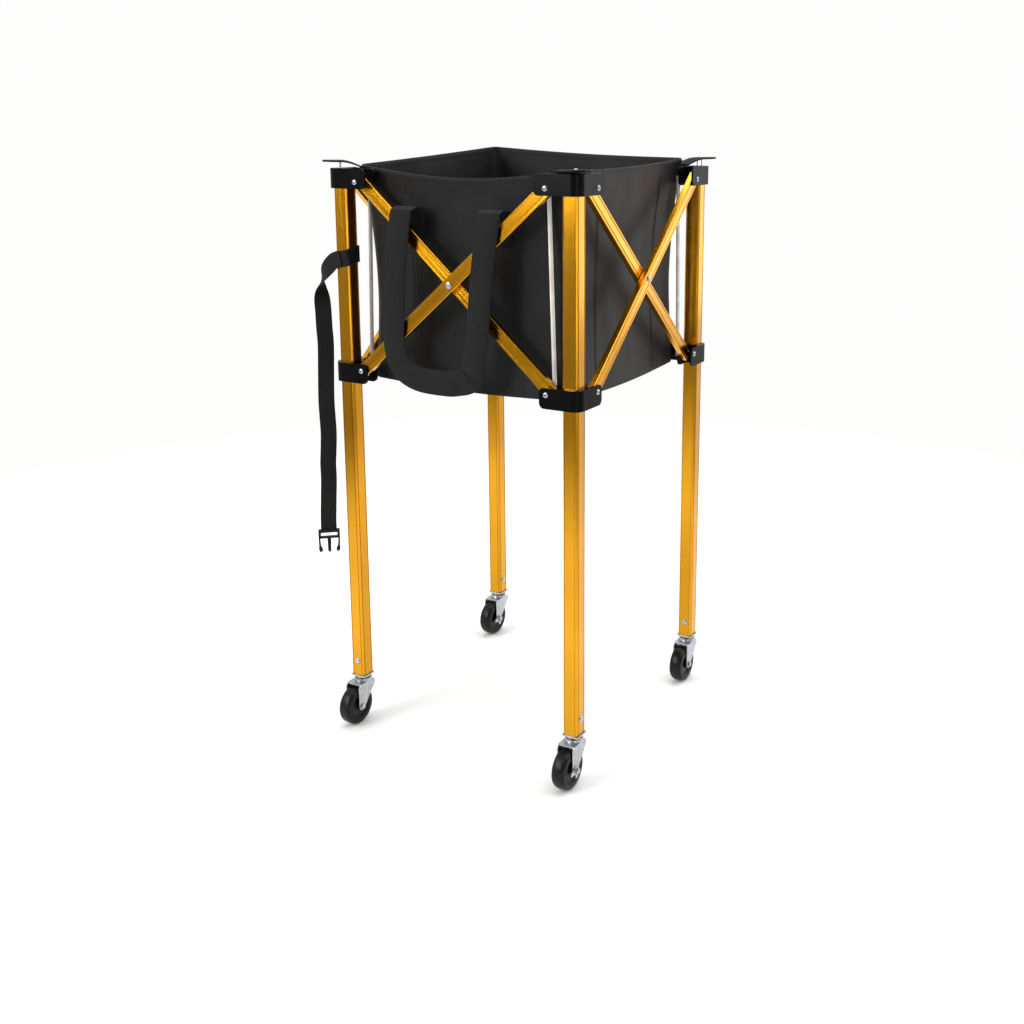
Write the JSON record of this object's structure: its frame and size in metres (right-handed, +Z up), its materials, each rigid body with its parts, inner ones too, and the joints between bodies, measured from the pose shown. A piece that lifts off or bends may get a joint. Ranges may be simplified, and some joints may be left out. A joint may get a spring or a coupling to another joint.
{
  "type": "folding ball cart",
  "caption": "Folding cart for sports balls: upright aluminium legs on swivel casters, crossed scissor bars on every side and an open-topped cloth bag hung inside.",
  "frame": {"origin": "floor point under the middle of the cart's outline", "axes": "+Z up, -Y out of the front side, X across it; the strap hangs by the -X, -Y leg"},
  "size_m": [0.5016, 0.4828, 0.923],
  "materials": {
    "gold_aluminium": "satin gold anodised extrusion",
    "black_plastic": "moulded, softly glossy",
    "zinc": "bright zinc plate",
    "black_tyre": "satin",
    "black_nylon": "coated woven cloth with a soft sheen",
    "black_webbing": "woven tape",
    "white_plastic": "smooth"
  },
  "bodies": {
    "front_left_leg": {"leg_front_left": "gold_aluminium", "upper_bracket_front_left": "black_plastic", "corner_stay_front_left": "white_plastic", "caster_plate_front_left": "zinc", "bag_flap_front_left": "black_nylon", "bag_wall_front": "black_nylon", "bag_wall_left": "black_nylon", "handle_front": "black_webbing", "tie_strap": "black_webbing", "strap_buckle": "black_plastic"},
    "inner_front_bar": {"inner_bar_front": "gold_aluminium", "cross_rivet_front": "zinc"},
    "outer_front_bar": {"outer_bar_front": "gold_aluminium"},
    "front_right_leg": {"leg_front_right": "gold_aluminium", "upper_bracket_front_right": "black_plastic", "corner_stay_front_right": "white_plastic", "caster_plate_front_right": "zinc", "bag_flap_front_right": "black_nylon", "bag_wall_right": "black_nylon"},
    "outer_left_bar": {"outer_bar_left": "gold_aluminium", "cross_rivet_left": "zinc"},
    "inner_left_bar": {"inner_bar_left": "gold_aluminium"},
    "rear_left_leg": {"leg_rear_left": "gold_aluminium", "upper_bracket_rear_left": "black_plastic", "corner_stay_rear_left": "white_plastic", "caster_plate_rear_left": "zinc", "bag_flap_rear_left": "black_nylon", "bag_wall_rear": "black_nylon", "handle_rear": "black_webbing"},
    "inner_right_bar": {"inner_bar_right": "gold_aluminium", "cross_rivet_right": "zinc"},
    "outer_right_bar": {"outer_bar_right": "gold_aluminium"},
    "rear_right_leg": {"leg_rear_right": "gold_aluminium", "upper_bracket_rear_right": "black_plastic", "corner_stay_rear_right": "white_plastic", "caster_plate_rear_right": "zinc", "bag_flap_rear_right": "black_nylon"},
    "outer_rear_bar": {"outer_bar_rear": "gold_aluminium", "cross_rivet_rear": "zinc"},
    "inner_rear_bar": {"inner_bar_rear": "gold_aluminium"},
    "front_left_slider": {"lower_bracket_front_left": "black_plastic"},
    "front_right_slider": {"lower_bracket_front_right": "black_plastic"},
    "rear_right_slider": {"lower_bracket_rear_right": "black_plastic"},
    "rear_left_slider": {"lower_bracket_rear_left": "black_plastic"},
    "front_floor": {"bag_floor_front": "black_nylon"},
    "rear_floor": {"bag_floor_rear": "black_nylon"},
    "front_left_caster": {"caster_fork_front_left": "zinc", "axle_front_left": "zinc"},
    "front_left_wheel": {"wheel_front_left": "black_tyre"},
    "front_right_caster": {"caster_fork_front_right": "zinc", "axle_front_right": "zinc"},
    "front_right_wheel": {"wheel_front_right": "black_tyre"},
    "front_right_brake": {"brake_lever_front_right": "zinc"},
    "rear_right_caster": {"caster_fork_rear_right": "zinc", "axle_rear_right": "zinc"},
    "rear_right_wheel": {"wheel_rear_right": "black_tyre"},
    "rear_left_caster": {"caster_fork_rear_left": "zinc", "axle_rear_left": "zinc"},
    "rear_left_wheel": {"wheel_rear_left": "black_tyre"},
    "rear_left_brake": {"brake_lever_rear_left": "zinc"}
  },
  "joints": [
    {"name": "fold", "type": "hinge", "parent": "front_left_leg", "child": "inner_front_bar", "pos_m": [-0.165, -0.19145, 0.876], "axis": [0, 1, 0], "range_deg": [0, 43.3], "deforming": ["bag_wall_front", "bag_wall_left", "bag_wall_right", "bag_wall_rear", "handle_front", "handle_rear", "bag_floor_front", "bag_floor_rear"]},
    {"name": "front_crossing", "type": "hinge", "parent": "inner_front_bar", "child": "outer_front_bar", "pos_m": [0, -0.19645, 0.733], "axis": [0, 1, 0], "range_deg": [-86.65, 0]},
    {"name": "front_right_top", "type": "hinge", "parent": "outer_front_bar", "child": "front_right_leg", "pos_m": [0.165, -0.19645, 0.876], "axis": [0, 1, 0], "range_deg": [0, 43.3]},
    {"name": "front_left_low", "type": "hinge", "parent": "outer_front_bar", "child": "front_left_slider", "pos_m": [-0.165, -0.19645, 0.59], "axis": [0, 1, 0], "range_deg": [0, 43.3]},
    {"name": "front_right_low", "type": "hinge", "parent": "inner_front_bar", "child": "front_right_slider", "pos_m": [0.165, -0.19145, 0.59], "axis": [0, 1, 0], "range_deg": [-43.35, 0]},
    {"name": "left_top", "type": "hinge", "parent": "front_left_leg", "child": "outer_left_bar", "pos_m": [-0.206, -0.15545, 0.876], "axis": [-1, 0, 0], "range_deg": [0, 43.3]},
    {"name": "left_crossing", "type": "hinge", "parent": "outer_left_bar", "child": "inner_left_bar", "pos_m": [-0.201, 0.00955, 0.733], "axis": [-1, 0, 0], "range_deg": [-86.65, 0]},
    {"name": "rear_left_top", "type": "hinge", "parent": "inner_left_bar", "child": "rear_left_leg", "pos_m": [-0.201, 0.17455, 0.876], "axis": [-1, 0, 0], "range_deg": [0, 43.3]},
    {"name": "rear_left_low", "type": "hinge", "parent": "outer_left_bar", "child": "rear_left_slider", "pos_m": [-0.206, 0.17455, 0.59], "axis": [-1, 0, 0], "range_deg": [-43.35, 0]},
    {"name": "right_top", "type": "hinge", "parent": "front_right_leg", "child": "inner_right_bar", "pos_m": [0.201, -0.15545, 0.876], "axis": [-1, 0, 0], "range_deg": [0, 43.3]},
    {"name": "right_crossing", "type": "hinge", "parent": "inner_right_bar", "child": "outer_right_bar", "pos_m": [0.206, 0.00955, 0.733], "axis": [-1, 0, 0], "range_deg": [-86.65, 0]},
    {"name": "rear_right_top", "type": "hinge", "parent": "outer_right_bar", "child": "rear_right_leg", "pos_m": [0.206, 0.17455, 0.876], "axis": [-1, 0, 0], "range_deg": [0, 43.3]},
    {"name": "rear_right_low", "type": "hinge", "parent": "inner_right_bar", "child": "rear_right_slider", "pos_m": [0.201, 0.17455, 0.59], "axis": [-1, 0, 0], "range_deg": [-43.35, 0]},
    {"name": "rear_top", "type": "hinge", "parent": "rear_left_leg", "child": "outer_rear_bar", "pos_m": [-0.165, 0.21555, 0.876], "axis": [0, 1, 0], "range_deg": [0, 43.3]},
    {"name": "rear_crossing", "type": "hinge", "parent": "outer_rear_bar", "child": "inner_rear_bar", "pos_m": [0, 0.21055, 0.733], "axis": [0, 1, 0], "range_deg": [-86.65, 0]},
    {"name": "front_floor_swing", "type": "hinge", "parent": "front_left_leg", "child": "front_floor", "pos_m": [0, -0.16905, 0.574], "axis": [-1, 0, 0], "range_deg": [0, 77.99]},
    {"name": "rear_floor_swing", "type": "hinge", "parent": "rear_left_leg", "child": "rear_floor", "pos_m": [0, 0.18815, 0.574], "axis": [1, 0, 0], "range_deg": [0, 77.99]},
    {"name": "front_left_swivel", "type": "hinge", "parent": "front_left_leg", "child": "front_left_caster", "pos_m": [-0.2, -0.19045, 0.07], "axis": [0, 0, 1], "continuous": true},
    {"name": "front_left_roll", "type": "hinge", "parent": "front_left_caster", "child": "front_left_wheel", "pos_m": [-0.2, -0.21045, 0.031], "axis": [1, 0, 0], "continuous": true},
    {"name": "front_right_swivel", "type": "hinge", "parent": "front_right_leg", "child": "front_right_caster", "pos_m": [0.2, -0.19045, 0.07], "axis": [0, 0, 1], "continuous": true},
    {"name": "front_right_roll", "type": "hinge", "parent": "front_right_caster", "child": "front_right_wheel", "pos_m": [0.2, -0.21045, 0.031], "axis": [1, 0, 0], "continuous": true},
    {"name": "front_right_brake", "type": "hinge", "parent": "front_right_caster", "child": "front_right_brake", "pos_m": [0.2, -0.21045, 0.031], "axis": [1, 0, 0], "range_deg": [-25, 25]},
    {"name": "rear_right_swivel", "type": "hinge", "parent": "rear_right_leg", "child": "rear_right_caster", "pos_m": [0.2, 0.20955, 0.07], "axis": [0, 0, 1], "continuous": true},
    {"name": "rear_right_roll", "type": "hinge", "parent": "rear_right_caster", "child": "rear_right_wheel", "pos_m": [0.2, 0.18955, 0.031], "axis": [1, 0, 0], "continuous": true},
    {"name": "rear_left_swivel", "type": "hinge", "parent": "rear_left_leg", "child": "rear_left_caster", "pos_m": [-0.2, 0.20955, 0.07], "axis": [0, 0, 1], "continuous": true},
    {"name": "rear_left_roll", "type": "hinge", "parent": "rear_left_caster", "child": "rear_left_wheel", "pos_m": [-0.2, 0.18955, 0.031], "axis": [1, 0, 0], "continuous": true},
    {"name": "rear_left_brake", "type": "hinge", "parent": "rear_left_caster", "child": "rear_left_brake", "pos_m": [-0.2, 0.18955, 0.031], "axis": [1, 0, 0], "range_deg": [-25, 25]}
  ],
  "couplings": [
    {"joint": "front_crossing", "follows": "fold", "ratio": -2},
    {"joint": "front_right_top", "follows": "fold", "ratio": 1},
    {"joint": "front_left_low", "follows": "fold", "ratio": 1},
    {"joint": "front_right_low", "follows": "fold", "ratio": -1},
    {"joint": "left_top", "follows": "fold", "ratio": 1},
    {"joint": "left_crossing", "follows": "fold", "ratio": -2},
    {"joint": "rear_left_top", "follows": "fold", "ratio": 1},
    {"joint": "rear_left_low", "follows": "fold", "ratio": -1},
    {"joint": "right_top", "follows": "fold", "ratio": 1},
    {"joint": "right_crossing", "follows": "fold", "ratio": -2},
    {"joint": "rear_right_top", "follows": "fold", "ratio": 1},
    {"joint": "rear_right_low", "follows": "fold", "ratio": -1},
    {"joint": "rear_top", "follows": "fold", "ratio": 1},
    {"joint": "rear_crossing", "follows": "fold", "ratio": -2},
    {"joint": "front_floor_swing", "follows": "fold", "ratio": 1.8},
    {"joint": "rear_floor_swing", "follows": "fold", "ratio": 1.8}
  ]
}
